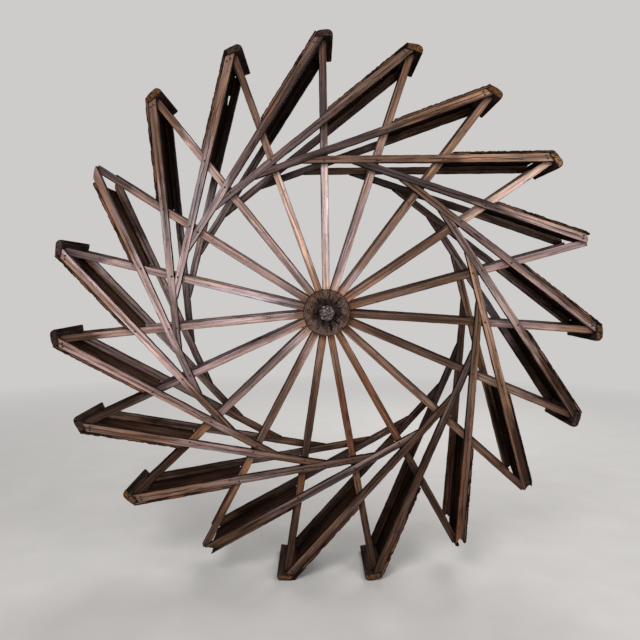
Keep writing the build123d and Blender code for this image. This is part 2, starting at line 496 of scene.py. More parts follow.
class Graph:
    """Short calls that build one material's nodes."""

    def __init__(self, name):
        self.material = bpy.data.materials.new(name)
        self.material.use_nodes = True
        self.tree = self.material.node_tree
        self.tree.nodes.clear()

    def node(self, kind, inputs=None, **settings):
        made = self.tree.nodes.new(kind)
        for key, value in settings.items():
            setattr(made, key, value)
        for key, value in (inputs or {}).items():
            if isinstance(value, bpy.types.NodeSocket):
                self.tree.links.new(value, made.inputs[key])
            else:
                made.inputs[key].default_value = value
        return made

    def attribute(self, name, output):
        return self.node("ShaderNodeAttribute", attribute_name=name).outputs[output]

    def stretch(self, vector, scale):
        return self.node("ShaderNodeVectorMath", {0: vector, 1: scale}, operation="MULTIPLY").outputs[0]

    def noise(self, vector, detail=3, roughness=0.55, distortion=0.0):
        inputs = {"Vector": vector, "Scale": 1, "Detail": detail, "Roughness": roughness,
                  "Distortion": distortion}
        return self.node("ShaderNodeTexNoise", inputs).outputs["Fac"]

    def math(self, operation, first, second=0.0):
        return self.node("ShaderNodeMath", {0: first, 1: second}, operation=operation).outputs[0]

    def span(self, value, from_low, from_high, to_low=0.0, to_high=1.0):
        inputs = {0: value, 1: from_low, 2: from_high, 3: to_low, 4: to_high}
        return self.node("ShaderNodeMapRange", inputs, clamp=True).outputs[0]

    def blend(self, share, first, second, how="MIX"):
        inputs = {0: share, 6: first, 7: second}
        return self.node("ShaderNodeMix", inputs, data_type="RGBA", blend_type=how).outputs[2]

    def shade(self, colour, value):
        """Colour multiplied by a number."""
        grey = self.node("ShaderNodeCombineXYZ", {0: value, 1: value, 2: value}).outputs[0]
        return self.blend(1.0, colour, grey, "MULTIPLY")

    def finish_with(self, colour, roughness, height, bump_distance, specular):
        bump = self.node("ShaderNodeBump", {
            "Height": height, "Distance": bump_distance, "Strength": 0.8})
        shader = self.node("ShaderNodeBsdfPrincipled", {
            "Base Color": colour, "Roughness": roughness, "Normal": bump.outputs[0],
            "Specular IOR Level": specular})
        self.node("ShaderNodeOutputMaterial", {"Surface": shader.outputs[0]})
        return self.material


# Near-black of grime and of painted shade
GRIME_AND_SHADE_COLOUR = (*linear((24, 17, 14)), 1)


def wood(name, contrast=1.0, crack_share=0.5, ring_pitch=0.0035, pore_depth=0.45, shine=0.02, seam=None):
    """Weathered wood: fibres, streaks, checks, growth rings on the ends, grime in pits, and a near-black
    blend from a point attribute that paints both grime and shade.
    """
    g = Graph(name)
    grain = g.attribute("grain", "Vector")
    finish = g.attribute("finish", "Color")
    grime = g.attribute("grime", "Fac")
    end = g.attribute("end", "Fac")

    fibre = g.noise(g.stretch(grain, (15, 380, 380)), 3, 0.6)
    streak = g.noise(g.stretch(grain, (4.0, 130, 130)), 2, 0.55, 0.3)
    band = g.noise(g.stretch(grain, (2.4, 50, 50)), 2)
    blotch = g.noise(g.stretch(grain, (18, 36, 36)), 4, 0.6)
    tint = g.noise(g.stretch(grain, (3.1, 88, 88)), 2)
    check = g.noise(g.stretch(grain, (4.5, 120, 120)), 2, 0.5, 0.3)
    line = g.span(g.math("ABSOLUTE", g.math("SUBTRACT", check, 0.5)), 0.002, 0.020, 1.0, 0.0)
    line = g.math("MULTIPLY", line, g.span(blotch, 0.55 - 0.12 * crack_share, 0.60, 0.0, 1.0))

    side = g.shade(finish, g.span(fibre, 0.3, 0.7, 1 - 0.34 * contrast, 1 + 0.30 * contrast))
    side = g.shade(side, g.span(streak, 0.38, 0.62, 1 - 0.44 * contrast, 1 + 0.36 * contrast))
    side = g.shade(side, g.span(band, 0.35, 0.65, 1 - 0.16 * contrast, 1 + 0.14 * contrast))
    warm = g.blend(1.0, side, (1.10, 0.98, 0.86, 1), "MULTIPLY")
    cool = g.blend(1.0, side, (0.92, 0.99, 1.10, 1), "MULTIPLY")
    side = g.blend(g.span(tint, 0.36, 0.64), warm, cool)
    side = g.shade(side, g.span(line, 0.0, 1.0, 1.0, 0.2))

    parts = g.node("ShaderNodeSeparateXYZ", {0: grain})
    if seam is not None:
        drift = g.math("SUBTRACT", g.noise(g.stretch(grain, (9, 1, 1)), 3), 0.5)
        drift = g.math("MULTIPLY", drift, 0.016)
        off = g.math("ABSOLUTE", g.math("ADD", g.math("SUBTRACT", parts.outputs[1], seam), drift))
        split = g.math("MULTIPLY", g.span(off, 0.0007, 0.0024, 1.0, 0.0),
                       g.span(g.noise(g.stretch(grain, (3.0, 1, 1)), 2), 0.44, 0.52))
        side = g.shade(side, g.span(split, 0.0, 1.0, 1.0, 0.3))
    flat = g.node("ShaderNodeCombineXYZ", {1: parts.outputs[1], 2: parts.outputs[2]}).outputs[0]
    wobble = g.noise(g.stretch(grain, (20, 45, 45)), 2)
    radius = g.node("ShaderNodeVectorMath", {0: flat}, operation="LENGTH").outputs[1]
    radius = g.math("ADD", radius, g.math("MULTIPLY", wobble, ring_pitch * 2.2))
    ring = g.math("SINE", g.math("MULTIPLY", radius, 2 * math.pi / ring_pitch))
    heading = g.node("ShaderNodeVectorMath", {0: flat}, operation="NORMALIZE").outputs[0]
    ray = g.noise(g.node("ShaderNodeVectorMath", {0: g.stretch(heading, (1, 5.5, 5.5)),
                                                  1: g.stretch(flat, (0, 14, 14))}).outputs[0], 2)
    ray = g.span(g.math("ABSOLUTE", g.math("SUBTRACT", ray, 0.5)), 0.004, 0.026, 1.0, 0.0)
    ray = g.math("MULTIPLY", ray, g.span(g.noise(g.stretch(grain, (30, 60, 60)), 2), 0.42, 0.54))
    pores = g.noise(g.stretch(grain, (60, 330, 330)), 2, 0.6)
    face = g.shade(finish, g.span(ring, -1.0, 1.0, 0.74, 1.12))
    face = g.shade(face, g.span(pores, 0.36, 0.64, 1 - pore_depth, 1 + 0.6 * pore_depth))
    face = g.shade(face, g.span(ray, 0.0, 1.0, 1.0, 0.10))

    colour = g.blend(end, side, face)
    # Blend towards near-black by the point attribute, which holds grime and painted shade, and by pits
    # of grime
    grime_and_shade_share = g.math("MULTIPLY", grime, g.span(blotch, 0.3, 0.62, 0.66, 1.3))
    pits = g.span(g.noise(g.stretch(grain, (110, 260, 260)), 2), 0.66, 0.73, 0.0, 0.8)
    grime_and_shade_share = g.math("MAXIMUM", grime_and_shade_share, g.math("MULTIPLY", pits, 0.8))
    colour = g.blend(g.span(grime_and_shade_share, 0.05, 0.95), colour, GRIME_AND_SHADE_COLOUR)

    height = g.math("ADD", g.math("MULTIPLY", fibre, 0.55), g.math("MULTIPLY", streak, 0.5))
    height = g.math("SUBTRACT", height, g.math("MULTIPLY", line, 0.7))
    height = g.math("SUBTRACT", height, g.math("MULTIPLY", g.math("MULTIPLY", ray, end), 0.8))
    height = g.math("SUBTRACT", height, g.math("MULTIPLY", pits, 0.4))
    return g.finish_with(colour, g.span(fibre, 0.3, 0.7, 0.72, 0.92), height, 0.0016, shine)


def iron(name):
    """Rusted nail heads."""
    g = Graph(name)
    grain = g.attribute("grain", "Vector")
    spots = g.noise(g.stretch(grain, (600, 600, 600)), 3, 0.6)
    colour = g.blend(g.span(spots, 0.35, 0.7), (*linear((22, 16, 14)), 1), (*linear((52, 32, 24)), 1))
    return g.finish_with(colour, g.span(spots, 0.3, 0.7, 0.5, 0.85), spots, 0.0004, 0.4)


def grain_of(block, number, pith=(0.0, 0.0)):
    """Grain coordinates of a block: along, across and through, from its pith, far from other blocks'."""
    return block.raw + np.array((number * 1.37, pith[0], pith[1]))


def shade_grime(block, inner=0.30, sides=0.86, corners=0.55):
    """Grime and painted shade of a long member: bare on its outer face, painted shade on its inner face,
    grime and painted shade on its sides, and darker along its long corners.
    """
    outer = smooth(-block.normal[:, 2], 0.35, 0.95)
    back = smooth(block.normal[:, 2], 0.35, 0.95)
    across = np.clip(np.abs(block.normal[:, 1]), 0, 1)
    bare = np.maximum(outer, back)
    # Painted shade on the inner face, and grime with painted shade on the sides
    grime = sides * (1 - bare) * (1 - 0.75 * block.end) + inner * back
    rim = smooth(np.abs(2 * block.share[:, 1] - 1), 0.80, 1.0)
    return np.maximum(grime, corners * rim * (1 - block.end) * (0.6 + 0.4 * across))


def arm_bow(bay, along):
    """Sideways bend of an arm and its paddle between the ring and the tread."""
    draw = np.random.default_rng(ARM_BOW_SEED + bay)
    bend = draw.uniform(*ARM_BOWS)
    return bend * np.sin(math.pi * np.clip(along / ARM_TIP[0], 0, 1)) ** 2


def arm_end(bay, side, block):
    """Shortens a bare arm's tip the way the arm of that bay is broken, as a distance along the arm."""
    across, deep = block.share[:, 1], block.share[:, 2]
    tear = 0.5 + 0.5 * waves(ARM_TEAR_SEED + bay, block.raw[:, 1:], (0.006, 0.012))
    # By bay: 5 is worn round, 8 frayed, 9 forked, 12 snapped off in two steps and 17 worn slanting
    if bay == 5 and side < 0:
        loss = 0.012 * (1 - np.sqrt(np.clip(1 - (1 - across) ** 4, 0, 1))) + 0.002 * tear
    elif bay == 8:
        loss = 0.003 * tear
    elif bay == 9:
        loss = 0.017 * np.clip(1 - np.abs(across - 0.45) / 0.3, 0, 1) + 0.006 * tear
    elif bay == 12 and side > 0:
        loss = 0.002 * tear
    elif bay == 12:
        loss = 0.010 + 0.008 * smooth(across, 0.45, 0.6) + 0.007 * tear + 0.003 * deep
    elif bay == 17:
        loss = 0.020 * across ** 2.2 + 0.001 * tear
    else:
        loss = 0 * across
    return loss * smooth(block.share[:, 0], 0.93, 1.0)


def arm(piece, bay, side):
    """One arm: feather-cut at the ring, raked at the tread. Side -1 is the front row, 1 the rear."""
    scarf, tip, outer_tip, outer_scarf = ARM_CORNERS
    length = np.linalg.norm(tip - scarf)
    stops = (even(length, CELL["arm"]), edged(ARM_RING_WIDTH), edged(ARM_DEPTH))
    block = Block(stops, WEAR["arm"], ARM_SEED + 10 * bay + side)
    along = block.points[:, 0] / block.size[0] - arm_end(bay, side, block) / length
    inner = scarf + along[:, None] * (tip - scarf)
    outer = outer_scarf + along[:, None] * (outer_tip - outer_scarf)
    drawn = inner + block.points[:, 1:2] / block.size[1] * (outer - inner)
    drawn[:, 1] += arm_bow(bay, drawn[:, 0])
    depth = side * (-ARM_FRONT - block.points[:, 2])
    if bay in STEPPED_ARMS:
        near, far, cut = STEPPED_ARMS[bay]
        stepped = smooth(drawn[:, 0], near, far) * smooth(1 - block.share[:, 2], 0.4, 0.8)
        depth -= side * cut * stepped
    points = place(arm_turn(bay), drawn[:, 0], drawn[:, 1], depth)
    finish, grime = arm_look(bay, side, block)
    grain = grain_of(block, 2 * bay + side, (0.03, 0.02))
    piece.add(points, block.faces, grain, finish, grime, block.end)


def arm_look(bay, side, block):
    """Tones, grime, painted light and painted shade of an arm, from the ring to the tip and across its
    two halves.
    """
    wander = 0.22 * waves(ARM_TONE_SEED + bay, block.raw, (0.16, 0.03, 0.03))
    half = smooth(block.share[:, 1] + wander, 0.30, 0.72)
    share = block.share[:, 0] + 0.5 * wander
    ring, middle, tip_inner, tip_outer = tones(ARM_TONE_AND_LIGHT[bay])
    finish = mix(ring, middle, smooth(share, 0.10, 0.40))
    finish = mix(finish, mix(tip_inner, tip_outer, half), smooth(share, 0.48, 0.74))
    if bay in DARK_EDGE_BAYS:
        finish = mix(finish, tone("bark"), 0.8 * half * (1 - smooth(share, 0.2, 0.45)))
    edge = smooth(share, 0.5, 0.6) * (1 - smooth(block.share[:, 1], 0.07, 0.25))
    if bay in PALE_EDGE_BAYS:
        finish = mix(finish, tone("fawn"), edge)
    # Painted shade: the inner faces of these rear arms go near-black towards the tip
    if side > 0 and bay in SHADED_REAR_BAYS:
        inward = smooth(block.normal[:, 2], 0.0, 0.6)
        finish = mix(finish, tone("soot"), 0.82 * inward * smooth(share, 0.40, 0.52))
    # Painted light: these rear arms are lighter at the ring end
    if side > 0 and bay in PAINTED_LIGHT_REAR_BAYS:
        finish = mix(finish, tone("amber"), 0.6 * (1 - smooth(share, 0.03, 0.14)))
    # Grime and painted shade, a little darker on the rear row
    grime = shade_grime(block) + 0.06 * (side > 0)
    if bay in PALE_EDGE_BAYS:
        grime = grime * (1 - 0.9 * edge)
    # The ring end darker where the arms meet: grime and painted shade
    return finish, grime + 0.25 * smooth(1 - block.share[:, 0], 0.86, 1.0)


def spoke(piece, bay, side):
    """One spoke from the hub to the tread, with its tenon through the tread."""
    start = HUB_RADIUS - SPOKE_SINK
    stops = (even(SEAT_RADIUS - start, CELL["spoke"]), edged(SPOKE_WIDTH), edged(SPOKE_DEPTH))
    block = Block(stops, WEAR["spoke"], SPOKE_SEED + 10 * bay + side)
    draw = np.random.default_rng(SPOKE_BOW_SEED + bay + 30 * side)
    bend = draw.uniform(-SPOKE_BOW, SPOKE_BOW)
    sway = bend * np.sin(math.pi * block.share[:, 0])
    across = block.points[:, 1] - SPOKE_WIDTH / 2 + sway
    depth = side * (-SPOKE_FRONT - block.points[:, 2])
    points = place(bay_angle(bay), start + block.points[:, 0], across, depth)

    wander = 0.2 * waves(SPOKE_TONE_SEED + bay, block.raw, (0.12, 0.03, 0.03))
    at_hub, inside, outside, at_tread = tones(SPOKE_TONE_AND_LIGHT[bay])
    reach = block.share[:, 0] + 0.3 * wander
    finish = mix(mix(at_hub, inside, smooth(reach, 0.04, 0.22)), outside, smooth(reach, 0.50, 0.62))
    turn = 0.66 if bay in DARK_SPOKE_BAYS else 0.76
    finish = mix(finish, at_tread, smooth(reach, turn, turn + 0.12))
    finish = mix(finish, finish * (1.14, 0.96, 0.78), 1 - smooth(block.share[:, 0], 0.01, 0.07))
    # Grime and painted shade, a little darker on the rear row
    grime = shade_grime(block) + 0.06 * (side > 0)
    # Darker where the arms cross and at the tread end: grime and painted shade
    ring = (RING_RADIUS - start + ARM_RING_WIDTH) / block.size[0]
    grime = grime + 0.25 * np.exp(-((block.share[:, 0] - ring) / 0.035) ** 2)
    grime = grime + 0.35 * smooth(block.share[:, 0], 0.975, 1.0)
    grain = grain_of(block, 50 + 2 * bay + side, (0.02, 0.03))
    piece.add(points, block.faces, grain, finish, grime, block.end)
    if bay not in TENONLESS_BAYS:
        tenon(piece, bay, side)


def tenon(piece, bay, side):
    """The tenon at a spoke's outer end, level with its tread, or worn where the tread is gone."""
    bare = bay in TREADLESS_BAYS
    start = SEAT_RADIUS - TENON_SINK
    reach = SEAT_RADIUS + TREAD_THICKNESS - TENON_SHY - start
    stops = (even(reach, CELL["tenon"]), rounded(TENON_SIZE, 6), rounded(TENON_SIZE, 6))
    block = Block(stops, WEAR["bare_tenon" if bare else "tenon"], TENON_SEED + 10 * bay + side)
    across = block.points[:, 1] - TENON_SIZE / 2
    off = 2 * block.share[:, 1] - 1
    if bay == 12:
        left = 0.45 - 0.25 * np.clip(1 - np.abs(off + 0.2) / 0.3, 0, 1)
    elif bare:
        left = 1 - 0.2 * off ** 2
    else:
        left = (TENON_SINK + tread_top(across) - TENON_SHY / 4) / reach
    radius = start + block.points[:, 0] * left
    middle = SPOKE_FRONT + (SPOKE_DEPTH - TENON_SIZE) / 2
    depth = side * (-middle - block.points[:, 2])
    points = place(bay_angle(bay), radius, across, depth)
    points[:, 2] = np.maximum(points[:, 2], TENON_LIFT)
    finish, grime = (tone("bark"), 0.62) if bare else (tone("umber"), 0.25)
    grain = grain_of(block, 150 + 2 * bay + side)
    piece.add(points, block.faces, grain, finish, grime, block.end)


def notched(bay, stops, length):
    """Cells of a board that lie outside its notch."""
    kept = all_cells(stops)
    if bay in PADDLE_NOTCHES:
        near, far, front, rear, slant = PADDLE_NOTCHES[bay]
        along = length - (stops[0][1:] + stops[0][:-1])[:, None] / 2
        back = PADDLE_SETBACK + (stops[1][1:] + stops[1][:-1])[None, :] / 2 - slant * (along - near)
        kept[(near <= along) & (along <= far) & (front <= back) & (back <= rear)] = False
    return kept


def paddle(bay):
    """One thin board on the outer edges of a front and a rear arm, with ragged edges."""
    tread_normal = TREAD_NORMAL - FLARE
    outer = OUTER_DISTANCE + PADDLE_THICKNESS
    spoke_side = tread_normal + STEP - 90, SPOKE_WIDTH / 2 + PADDLE_SPOKE_GAP / 3
    tread_back = tread_normal + 90, TREAD_BACK + FIT_GAP
    tread_edge = tread_normal, SEAT_RADIUS + TREAD_EDGE_THICKNESS
    root = meet(90, outer, *spoke_side)[0]
    toe = meet(90, OUTER_DISTANCE, *spoke_side)[0]
    heel = meet(90, OUTER_DISTANCE, *tread_back)[0]
    crest = meet(90, outer, *tread_edge)[0]
    bend = meet(*tread_back, *tread_edge)
    bend_x, bend_up = bend[0], (bend[1] - OUTER_DISTANCE) / PADDLE_THICKNESS
    if bay in SHORT_PADDLE_BAYS:
        heel = crest = bend_x = heel - SHORT_PADDLE_LOSS
    length, wide = heel - root, WIDTH - 2 * PADDLE_SETBACK
    rim_rows = np.array((0, 0.0014, 0.0040))
    rows = np.concatenate((rim_rows, even(wide, PADDLE_ROW)[1:-1], wide - rim_rows[::-1]))
    stops = (even(length, CELL["paddle"]), rows, even(PADDLE_THICKNESS, PADDLE_LAYER))
    seed = PADDLE_SEED + 10 * bay
    block = Block(stops, WEAR["paddle"], seed, notched(bay, stops, length))
    edge = np.minimum(block.share[:, 1], 1 - block.share[:, 1]) * wide
    near = 1 - smooth(edge, 0.0, RAGGED_WIDTH)
    up = block.share[:, 2]
    nick = smooth(waves(seed + 3, block.raw[:, :1], (0.022,), 4), -0.2, 0.9)
    chip = smooth(waves(seed + 8, block.raw[:, :1], (0.070,), 4), 0.38, 0.6)
    points = block.points.copy()
    points[:, 2] *= 1 - near * (PADDLE_EDGE_WEAR.get(bay, 0) + 0.06 * nick + 0.15 * chip)
    inward = np.where(block.share[:, 1] < 0.5, 1, -1)
    points[:, 1] += inward * near * up * (NICK_DEPTH * nick + CHIP_DEPTH * chip)
    loss = 0.5 + 0.5 * waves(seed + 5, block.raw[:, 1:2], (0.03,), 4)
    first = 1 - smooth(block.share[:, 0], 0.0, 0.08)
    last = smooth(block.share[:, 0], 0.9, 1.0)
    between_rows = smooth(edge, *ROOT_RUN_DEPTHS)
    points[:, 0] += ((toe - root) * (1 - up) - PADDLE_ROOT_RUN * between_rows) * first
    points[:, 0] += (np.interp(up, (0, bend_up, 1), (heel, bend_x, crest)) - heel) * last
    if bay in TREADLESS_BAYS:
        behind = smooth(block.raw[:, 1], *OVERRUN_DEPTHS) * (1 - near)
        overrun = PADDLE_OVERRUN.get(bay, 0) * behind * (1 - up)
        short = PADDLE_CREST_LOSS.get(bay, 0) * up + PADDLE_END_LOSS.get(bay, 0)
        points[:, 0] += (overrun - short - BARE_END_WEAR * near * loss) * last
    else:
        points[:, 0] += PADDLE_END_PRESS * last
    across = root + points[:, 0]
    height = OUTER_DISTANCE + np.clip(points[:, 2], 0, PADDLE_THICKNESS) + arm_bow(bay, across)
    placed = place(arm_turn(bay) + FLARE, across, height, FRONT + PADDLE_SETBACK + points[:, 1])
    placed[:, 2] = np.maximum(placed[:, 2], 0)
    finish, grime = paddle_look(bay, block, near)
    piece = Piece()
    piece.add(placed, block.faces, grain_of(block, 250 + bay, (0.1, 0.1)), finish, grime, block.end)
    piece.build(f"weathered_paddle_{bay:02d}", PADDLE_WOOD, "paddle_wood", f"paddle_{bay:02d}")


def paddle_look(bay, block, near):
    """Tones, grime and painted shade of a board: near-black faces, partly painted shade, with red
    patches, and bare wood along its ragged edges.
    """
    seed, up = PADDLE_SEED + 10 * bay, block.share[:, 2]
    rim = smooth(near, 0.55, 0.95)
    share = PADDLE_EDGE_SHARE[bay]
    lit = smooth(waves(seed + 6, block.raw, (0.10, 0.02, 0.02), 4) + share - 0.5, -0.35, 0.25)
    dash = smooth(waves(seed + 9, block.raw[:, :1], (0.028,), 3) + share - 0.5, 0.05, 0.35)
    strip = smooth(up, 0.55, 0.7) * (1 - smooth(up, 0.78, 0.92))
    bare = lit * (1 - smooth(up, 0.40, 0.62)) + 0.7 * dash * strip
    # The near-black ground is partly the board's own tone and partly painted shade
    ground = tone(PADDLE_FINISH.get(bay, "soot"))
    finish = mix(ground, ground * 0.55, 0.5 + 0.5 * waves(seed + 7, block.raw, (0.25, 0.03, 0.03)))
    red = smooth(waves(seed + 4, block.raw, (0.22, 0.022, 0.03), 3), 0.1, 0.6)
    finish = mix(finish, tone("garnet"), 0.8 * red)
    finish = mix(finish, mix(tone("rust"), tone("umber"), 0.5), rim * bare)
    # Darker towards the tread end, and along the ragged edges
    tread_end_dark = 0.10 + 0.5 * smooth(block.share[:, 0], 0.45, 1.0)
    return finish, (tread_end_dark * (1 - 0.6 * red) + 0.35 * rim) * (1 - rim * bare)


def tread_top(across):
    """Thickness of a tread across its width, from the rounded nose to the back edge."""
    back = -across
    nose = TREAD_FORE - TREAD_NOSE_START
    over = np.clip((back - TREAD_NOSE_START) / nose, 0, 1)
    front = TREAD_NOSE_LIP + (TREAD_THICKNESS - TREAD_NOSE_LIP) * np.sqrt(1 - over ** 2)
    fall = np.clip((across + TREAD_NOSE_START) / (TREAD_BACK + TREAD_NOSE_START), 0, 1)
    crown = TREAD_THICKNESS - (TREAD_THICKNESS - TREAD_EDGE_THICKNESS) * fall ** 2
    return np.where(over > 0, front, crown)


def tread(bay):
    """One foot board across a front and a rear spoke, with end grain at both ends."""
    broad = TREAD_FORE + TREAD_BACK
    stops = (even(WIDTH, CELL["tread"]), rounded(broad, 14), rounded(TREAD_THICKNESS, 7))
    seed = TREAD_SEED + 10 * bay
    block = Block(stops, WEAR["tread"], seed)
    across = block.points[:, 1] - TREAD_FORE
    if bay not in PADDLE_NOTCHES:
        from_end = 0.5 - np.abs(block.share[:, 0] - 0.5)
        packed = smooth(from_end, 0.012, 0.03) * smooth(across, 0.012, 0.019)
        packed *= np.clip(1 - block.points[:, 2] / WEDGE_HEIGHT, 0, 1)
        across = across + WEDGE_DEPTH * packed
    top = smooth(block.share[:, 2], 0.3, 1.0)
    hollow = TREAD_HOLLOW * top * (0.5 + 0.5 * waves(seed + 2, block.raw[:, :2], (0.12, 0.04)))
    radius = SEAT_RADIUS + (block.points[:, 2] - hollow) * tread_top(across) / TREAD_THICKNESS
    corner = np.clip(1 - (across + TREAD_FORE) / TREAD_CORNER, 0, 1)
    cut = TREAD_CORNER * (1 - np.sqrt(1 - corner ** 2))
    middle = 1 - 2 * block.share[:, 0]
    depth = FRONT + block.points[:, 0] + cut * np.sign(middle) * middle ** 8
    points = place(bay_angle(bay), radius, across, depth)
    points[:, 2] = np.maximum(points[:, 2], 0)

    patch = smooth(waves(seed + 4, block.raw[:, 1:], (0.020, 0.012), 3), -0.1, 0.5)
    colour = mix(tone(TREAD_FINISH[bay]), tone("garnet"), 0.75 * patch)
    side = mix(tone("bark"), tone("slate"), 0.5 + 0.5 * waves(seed + 3, block.raw, (0.15, 0.02, 0.02)))
    finish = mix(side, colour, smooth(block.end, 0.2, 0.8))
    rim = np.minimum(block.share, 1 - block.share)[:, 1:].min(axis=1)
    grime = 0.30 * (1 - block.end) + 0.9 * block.end * (1 - smooth(rim, 0.0, 0.13))
    # Darker within a short height of the floor
    if bay in STANDING_BAYS:
        grime = grime + 0.9 * smooth(0.5 - points[:, 2] / (2 * FOOT_DARK_HEIGHT), 0.0, 0.5)
    draw = np.random.default_rng(seed)
    pith = (draw.uniform(-0.05, -0.01), draw.uniform(0.005, 0.03))
    piece = Piece()
    piece.add(points, block.faces, grain_of(block, 300 + bay, pith), finish, grime, block.end)
    piece.build(f"weathered_tread_{bay:02d}", TREAD_WOOD, "tread_wood", f"tread_{bay:02d}")


def hub():
    """The turned hub: worn rim, hollow ends round the axle and drying cracks from the middle."""
    end = HUB_HIGH[1]
    floor = end - DISH_DEPTH
    half = [(AXLE_RADIUS + FIT_GAP, floor)]
    half += [(radius, floor) for radius in np.linspace(AXLE_RADIUS + 0.002, DISH_FLOOR_RADIUS, 5)]
    for share in np.linspace(0.12, 1, 8):
        radius = DISH_FLOOR_RADIUS + share * (DISH_RADIUS - DISH_FLOOR_RADIUS)
        half.append((radius, floor + share * DISH_DEPTH))
    half += [(radius, end) for radius in np.linspace(DISH_RADIUS, HUB_RADIUS - HUB_BEVEL, 5)[1:]]
    for turn in np.linspace(20, 90, 4):
        half.append((HUB_RADIUS - HUB_BEVEL + HUB_BEVEL * math.sin(math.radians(turn)),
                     end - HUB_BEVEL + HUB_BEVEL * math.cos(math.radians(turn))))
    barrel = [(HUB_RADIUS, y) for y in np.linspace(end - HUB_BEVEL, -end + HUB_BEVEL, 44)[1:-1]]
    bore = [(AXLE_RADIUS + FIT_GAP, y) for y in np.linspace(-floor, floor, 5)[1:-1]]
    profile = np.array(half + barrel + [(radius, -y) for radius, y in half[::-1]] + bore)
    rows = len(profile)
    angle = np.repeat(np.arange(HUB_COLUMNS) * 2 * math.pi / HUB_COLUMNS, rows)
    radius = np.tile(profile[:, 0], HUB_COLUMNS)
    depth = np.tile(profile[:, 1], HUB_COLUMNS)
    ids = np.arange(rows * HUB_COLUMNS).reshape(HUB_COLUMNS, rows)
    beside = np.roll(ids, -1, axis=0)
    loops = ids, beside, np.roll(beside, -1, axis=1), np.roll(ids, -1, axis=1)
    faces = np.stack(loops, axis=-1).reshape(-1, 4)

    round_points = np.column_stack((np.cos(angle) * radius, depth, np.sin(angle) * radius))
    face = smooth(np.abs(depth), end - 0.008, end - 0.004)
    outer = smooth(radius, HUB_RADIUS - 0.012, HUB_RADIUS - 0.002)
    crack = np.zeros(len(angle))
    draw = np.random.default_rng(HUB_SEED + 6)
    for _ in range(HUB_CRACKS):
        middle = draw.uniform(0, 2 * math.pi)
        inner, outside = draw.uniform(*HUB_CRACK_STARTS), draw.uniform(*HUB_CRACK_ENDS)
        offset = np.abs((angle - middle + math.pi) % (2 * math.pi) - math.pi) * radius
        long = smooth(radius, inner, inner + 0.006) * (1 - smooth(radius, outside - 0.008, outside))
        crack = np.maximum(crack, long * (1 - smooth(offset, 0.0004, 0.0022)))
    dent = 0.0005 * (0.5 + 0.5 * waves(HUB_SEED, round_points, (0.02, 0.06, 0.02)))
    ragged = 0.0012 * outer * (0.5 + 0.5 * waves(HUB_SEED + 1, round_points, (0.018, 0.03, 0.018), 4))
    bore_wall = radius < AXLE_RADIUS + 0.001
    shrink = np.where(bore_wall, 0, dent + ragged)
    pitted = 0.0010 * (1 + waves(HUB_SEED + 2, round_points, (0.012, 0.5, 0.012), 4))
    sunk = face * (pitted + HUB_CRACK_DEPTH * crack)
    radius = radius - shrink * smooth(radius, HUB_RADIUS - 0.014, HUB_RADIUS)
    depth = depth - np.sign(depth) * sunk
    points = np.column_stack((np.cos(angle) * radius, depth, AXLE_HEIGHT + np.sin(angle) * radius))

    speckle = waves(HUB_SEED + 3, round_points, (0.020, 0.05, 0.020), 4)
    dash = waves(HUB_SEED + 5, np.column_stack((angle * 0.05, radius)), (0.008, 0.06), 3)
    rough = radius + 0.007 * speckle + 0.005 * dash
    rim = smooth(rough, 0.040, 0.056)
    patch = waves(HUB_SEED + 4, round_points, (0.035, 0.1, 0.035), 3)
    finish = mix(tone("umber"), tone("plum") * 1.25, smooth(patch, -0.2, 0.5))
    finish = mix(finish, tone("brown"), smooth(-patch, 0.1, 0.6))
    finish = mix(tone("slate"), finish, rim)
    finish = mix(tone("brown"), finish, face)
    bevel = smooth(radius, HUB_RADIUS - 0.004, HUB_RADIUS - 0.001)
    grime = face * (0.72 * (1 - rim) * (0.8 + 0.5 * speckle) + 0.8 * crack + 0.95 * bevel)
    grime = grime + 0.55 * (1 - face)
    grain = np.column_stack((depth + 0.7, np.cos(angle) * radius, np.sin(angle) * radius))
    piece = Piece()
    piece.add(points, faces, grain, finish, grime, face)
    piece.build("weathered_hub", HUB_WOOD, "hub_wood", "hub")


def axle():
    """The sawn-off axle: a worn round bar with cracked end grain."""
    end = AXLE_HIGH[1]
    width_stops = rounded(2 * AXLE_RADIUS, 26)
    stops = (even(2 * end, CELL["axle"]), width_stops, width_stops)
    raw, faces = surface(stops, all_cells(stops))
    across, up = disc(raw[:, 1] / AXLE_RADIUS - 1, raw[:, 2] / AXLE_RADIUS - 1)
    radius = np.hypot(across, up)
    face = (np.abs(raw[:, 0] - end) > end - 1e-6).astype(float)
    rim = smooth(radius, 0.86, 1.0)
    flat = np.column_stack((across, up)) * AXLE_RADIUS
    dent = AXLE_FACE_DENT * (0.5 + 0.5 * waves(AXLE_SEED, flat, (0.008, 0.008), 4))
    sunk = face * (AXLE_RIM_WEAR * rim ** 2 + dent)
    depth = (raw[:, 0] - end) * (1 - sunk / end)
    uneven = waves(AXLE_SEED + 1, np.column_stack((depth, flat)), (0.05, 0.02, 0.02))
    shrink = 1 - 0.01 * (0.5 + 0.5 * uneven)
    points = np.column_stack((flat[:, 0] * shrink, depth, AXLE_HEIGHT + flat[:, 1] * shrink))
    dark = 0.85 * smooth(waves(AXLE_SEED + 2, flat, (0.009, 0.009), 3), 0.10, 0.45)
    light = smooth(waves(AXLE_SEED + 3, flat, (0.012, 0.012), 3), 0.45, 0.7)
    finish = mix(mix(tone("grey"), tone("black"), dark), tone("pale"), light)
    grime = face * (0.9 * smooth(radius, 0.90, 0.99) + 0.15) + 0.7 * (1 - face)
    grain = np.column_stack((depth + 0.3, flat))
    piece = Piece()
    piece.add(points, faces, grain, finish, grime, face)
    piece.build("weathered_axle", AXLE_WOOD, "axle_wood", "axle")


